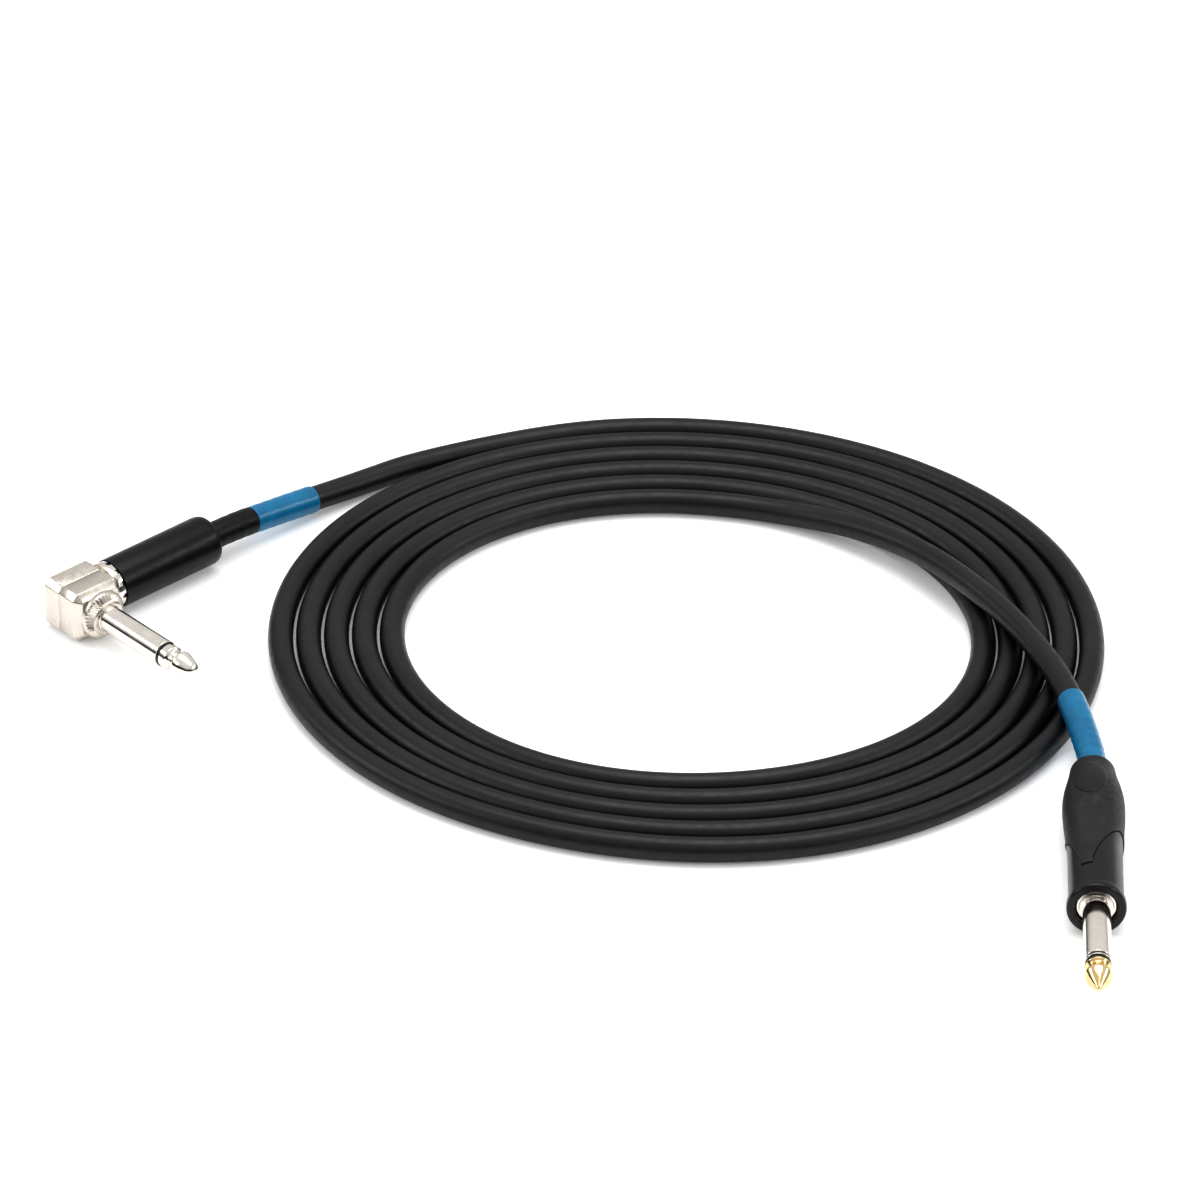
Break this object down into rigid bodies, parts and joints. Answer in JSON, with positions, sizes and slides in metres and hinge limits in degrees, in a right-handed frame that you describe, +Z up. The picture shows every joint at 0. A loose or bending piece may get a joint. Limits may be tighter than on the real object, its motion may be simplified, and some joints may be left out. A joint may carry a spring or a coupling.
{
  "type": "instrument cable",
  "caption": "Black instrument lead in a flat coil, with a straight quarter-inch plug on one end, a right-angle plug on the other and a blue label sleeve beside each.",
  "frame": {"origin": "on the surface that the lead lies on, below the middle of the box of the two plugs", "axes": "+Z up from that surface; the straight plug points along -Y; the right-angle plug is on the -X side"},
  "size_m": [0.248, 0.2351, 0.0143],
  "materials": {
    "jacket_black": "soft matt extruded PVC jacket",
    "plug_nickel": "bright nickel plate on brass",
    "tip_gold": "bright gold plate on brass",
    "head_nickel": "satin nickel plate on a zinc casting",
    "shell_black": "satin black",
    "barrel_black": "satin black",
    "boot_black": "matt moulded rubber",
    "emblem_grey": "plain moulded pad",
    "insulator_black": "moulded nylon",
    "label_blue": "printed heat-shrink tube",
    "shrink_black": "heat-shrink tube",
    "liner_clear": "thin translucent tube",
    "core_white": "solid polyethylene",
    "copper": "bare copper strands"
  },
  "bodies": {
    "cable_and_plugs": {"straight_finger_sleeve": "plug_nickel", "straight_finger_insulator": "insulator_black", "straight_finger_spacer": "plug_nickel", "straight_tip_insulator": "insulator_black", "straight_tip_contact": "tip_gold", "straight_rear_washer": "insulator_black", "straight_tip_lug": "plug_nickel", "straight_ground_lug": "plug_nickel", "straight_chuck": "insulator_black", "straight_cable_end": "jacket_black", "straight_inner_core": "core_white", "straight_conductor": "copper", "straight_shield_tail": "copper", "angle_head": "head_nickel", "angle_rear_cover": "head_nickel", "angle_collar": "head_nickel", "angle_finger_sleeve": "plug_nickel", "angle_finger_insulator": "insulator_black", "angle_tip_contact": "plug_nickel", "angle_rear_washer": "insulator_black", "angle_tip_lug": "plug_nickel", "angle_lock_ring": "head_nickel", "angle_ground_clamp": "plug_nickel", "angle_cable_end": "jacket_black", "angle_inner_core": "core_white", "angle_conductor": "copper", "angle_shield_tail": "copper", "cable_to_angle_plug": "jacket_black", "cable_coil": "jacket_black", "cable_to_straight_plug": "jacket_black", "heat_shrink_sleeve": "shrink_black", "angle_end_label": "label_blue", "straight_end_label": "label_blue"},
    "straight_carrier": {"straight_liner": "liner_clear"},
    "straight_cover": {"straight_shell": "shell_black", "straight_boot": "boot_black", "straight_emblem": "emblem_grey"},
    "angle_carrier": {"angle_liner": "liner_clear"},
    "angle_cover": {"angle_barrel": "barrel_black"}
  },
  "joints": [
    {"name": "straight_cover_travel", "type": "slide", "parent": "cable_and_plugs", "child": "straight_carrier", "axis": [0, 1, 0], "range_m": [0, 0.00401]},
    {"name": "straight_cover_turn", "type": "hinge", "parent": "straight_carrier", "child": "straight_cover", "pos_m": [0.1169, -0.0614, 0.007], "axis": [0, 1, 0], "range_deg": [0, 1800]},
    {"name": "angle_cover_travel", "type": "slide", "parent": "cable_and_plugs", "child": "angle_carrier", "axis": [0.7254, 0.6884, 0], "range_m": [0, 0.00401]},
    {"name": "angle_cover_turn", "type": "hinge", "parent": "angle_carrier", "child": "angle_cover", "pos_m": [-0.1164, 0.06, 0.0065], "axis": [0.7254, 0.6884, 0], "range_deg": [0, 1800]}
  ],
  "couplings": [
    {"joint": "straight_cover_travel", "follows": "straight_cover_turn", "m_per_rad": 0.00012732},
    {"joint": "angle_cover_travel", "follows": "angle_cover_turn", "m_per_rad": 0.00012732}
  ]
}
